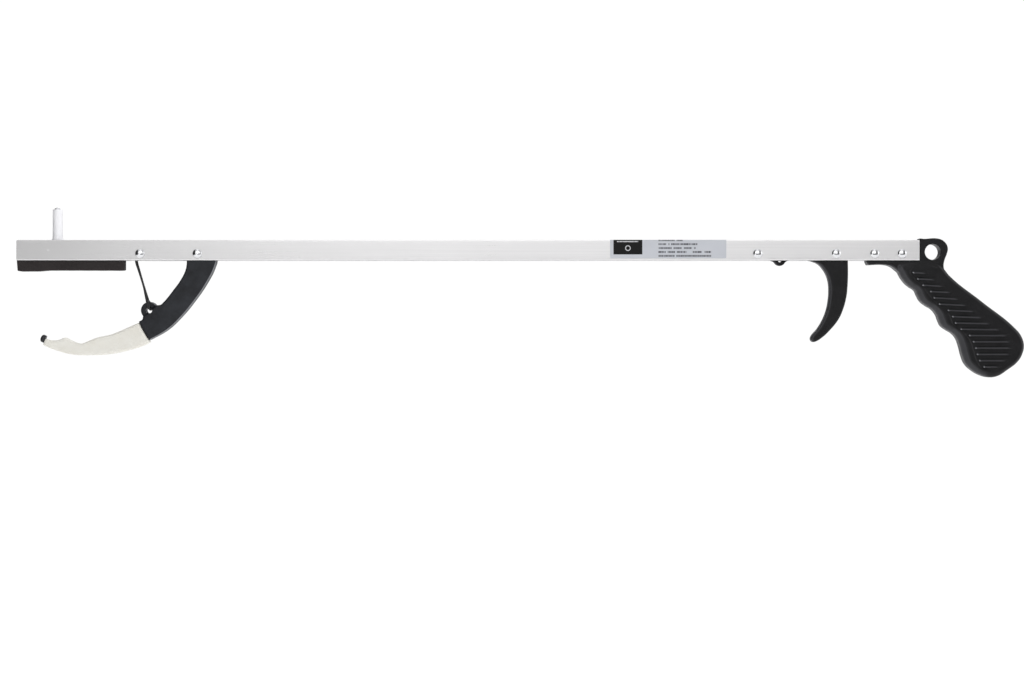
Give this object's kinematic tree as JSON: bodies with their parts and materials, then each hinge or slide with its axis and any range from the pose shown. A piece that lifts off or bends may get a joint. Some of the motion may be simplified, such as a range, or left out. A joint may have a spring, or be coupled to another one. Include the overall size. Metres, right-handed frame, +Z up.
{
  "type": "reacher grabber",
  "caption": "Hand-held reacher with a channel beam, pistol grip, finger trigger, cord-pulled curved jaw with a magnetic tip, fixed pad and upright peg.",
  "frame": {"origin": "on the beam's flat top face, on the mid-plane, straight above the trigger's pivot", "axes": "+X along the beam towards the grip, +Z up out of the beam's top face, +Y across the beam, away from the side with the domed rivet heads"},
  "size_m": [0.8133, 0.02, 0.1374],
  "materials": {
    "aluminium": "fine lengthwise brushing, satin",
    "bright_steel": "bright nickel plate",
    "spring_steel": "drawn wire",
    "black_plastic": "moulded, light sheen",
    "cream_rubber": "soft matt sleeve",
    "dark_rubber": "fine-grained resilient strip",
    "magnet_black": "coated magnet",
    "white_vinyl": "smooth vinyl",
    "nylon": "moulded nylon",
    "black_cord": "fine braid",
    "label_film": "printed silver-grey film"
  },
  "bodies": {
    "frame": {"beam_channel": "aluminium", "grip_handle": "black_plastic", "rivet_front_guide": "bright_steel", "rivet_jaw_pivot": "bright_steel", "rivet_rear_guide": "bright_steel", "rivet_trigger_pivot": "bright_steel", "rivet_handle_front": "bright_steel", "rivet_handle_rear": "bright_steel", "fixed_jaw_pad": "dark_rubber", "hook_peg_pin": "bright_steel", "hook_peg_sleeve": "white_vinyl", "info_label": "label_film"},
    "trigger_lever": {"trigger": "black_plastic"},
    "jaw": {"jaw_arm": "black_plastic", "jaw_sleeve": "cream_rubber", "jaw_magnet": "magnet_black", "jaw_return_spring": "spring_steel"},
    "front_roller": {"front_guide_roller": "nylon"},
    "rear_roller": {"rear_guide_roller": "nylon"},
    "cord_run": {"cord_run_near": "black_cord", "cord_run_far": "black_cord"},
    "front_fall": {"cord_front_fall_near": "black_cord", "cord_front_fall_far": "black_cord"},
    "front_loop": {"cord_front_loop": "black_cord"},
    "rear_fall": {"cord_rear_fall_near": "black_cord", "cord_rear_fall_far": "black_cord"},
    "rear_loop": {"cord_rear_loop": "black_cord"}
  },
  "joints": [
    {"name": "trigger_pivot", "type": "hinge", "parent": "frame", "child": "trigger_lever", "pos_m": [0, 0, -0.011], "axis": [0, -1, 0], "range_deg": [0, 27]},
    {"name": "jaw_pivot", "type": "hinge", "parent": "frame", "child": "jaw", "pos_m": [-0.5155, 0, -0.011], "axis": [0, 1, 0], "range_deg": [0, 21.6], "stiffness_Nm_per_rad": 0.12, "springref_deg": -34.38, "deforming": ["jaw_return_spring"]},
    {"name": "front_roller_spin", "type": "hinge", "parent": "frame", "child": "front_roller", "pos_m": [-0.5617, 0, -0.011], "axis": [0, 1, 0], "range_deg": [0, 226.6]},
    {"name": "rear_roller_spin", "type": "hinge", "parent": "frame", "child": "rear_roller", "pos_m": [-0.0634, 0, -0.011], "axis": [0, 1, 0], "range_deg": [0, 226.6]},
    {"name": "cord_run_slide", "type": "slide", "parent": "frame", "child": "cord_run", "axis": [1, 0, 0], "range_m": [0, 0.01898], "deforming": ["cord_run_near", "cord_run_far"]},
    {"name": "front_fall_swing", "type": "hinge", "parent": "frame", "child": "front_fall", "pos_m": [-0.5617, 0, -0.011], "axis": [0, 1, 0], "range_deg": [0, 19.4]},
    {"name": "front_fall_take_up", "type": "slide", "parent": "front_fall", "child": "front_loop", "axis": [0.2521, 0, -0.9677], "range_m": [-0.01736, 0], "deforming": ["cord_front_fall_near", "cord_front_fall_far", "cord_front_loop"]},
    {"name": "rear_fall_swing", "type": "hinge", "parent": "frame", "child": "rear_fall", "pos_m": [-0.0634, 0, -0.011], "axis": [0, 1, 0], "range_deg": [0, 21.5]},
    {"name": "rear_fall_pay_out", "type": "slide", "parent": "rear_fall", "child": "rear_loop", "axis": [0.8594, 0, -0.5113], "range_m": [0, 0.01719], "deforming": ["cord_rear_fall_near", "cord_rear_fall_far", "cord_rear_loop"]}
  ],
  "couplings": [
    {"joint": "jaw_pivot", "follows": "trigger_pivot", "ratio": 0.7963},
    {"joint": "front_roller_spin", "follows": "trigger_pivot", "ratio": 8.385},
    {"joint": "rear_roller_spin", "follows": "trigger_pivot", "ratio": 8.385},
    {"joint": "cord_run_slide", "follows": "trigger_pivot", "m_per_rad": 0.04026},
    {"joint": "front_fall_swing", "follows": "trigger_pivot", "ratio": 0.7148},
    {"joint": "front_fall_take_up", "follows": "trigger_pivot", "m_per_rad": -0.03682},
    {"joint": "rear_fall_swing", "follows": "trigger_pivot", "ratio": 0.794},
    {"joint": "rear_fall_pay_out", "follows": "trigger_pivot", "m_per_rad": 0.03645}
  ]
}
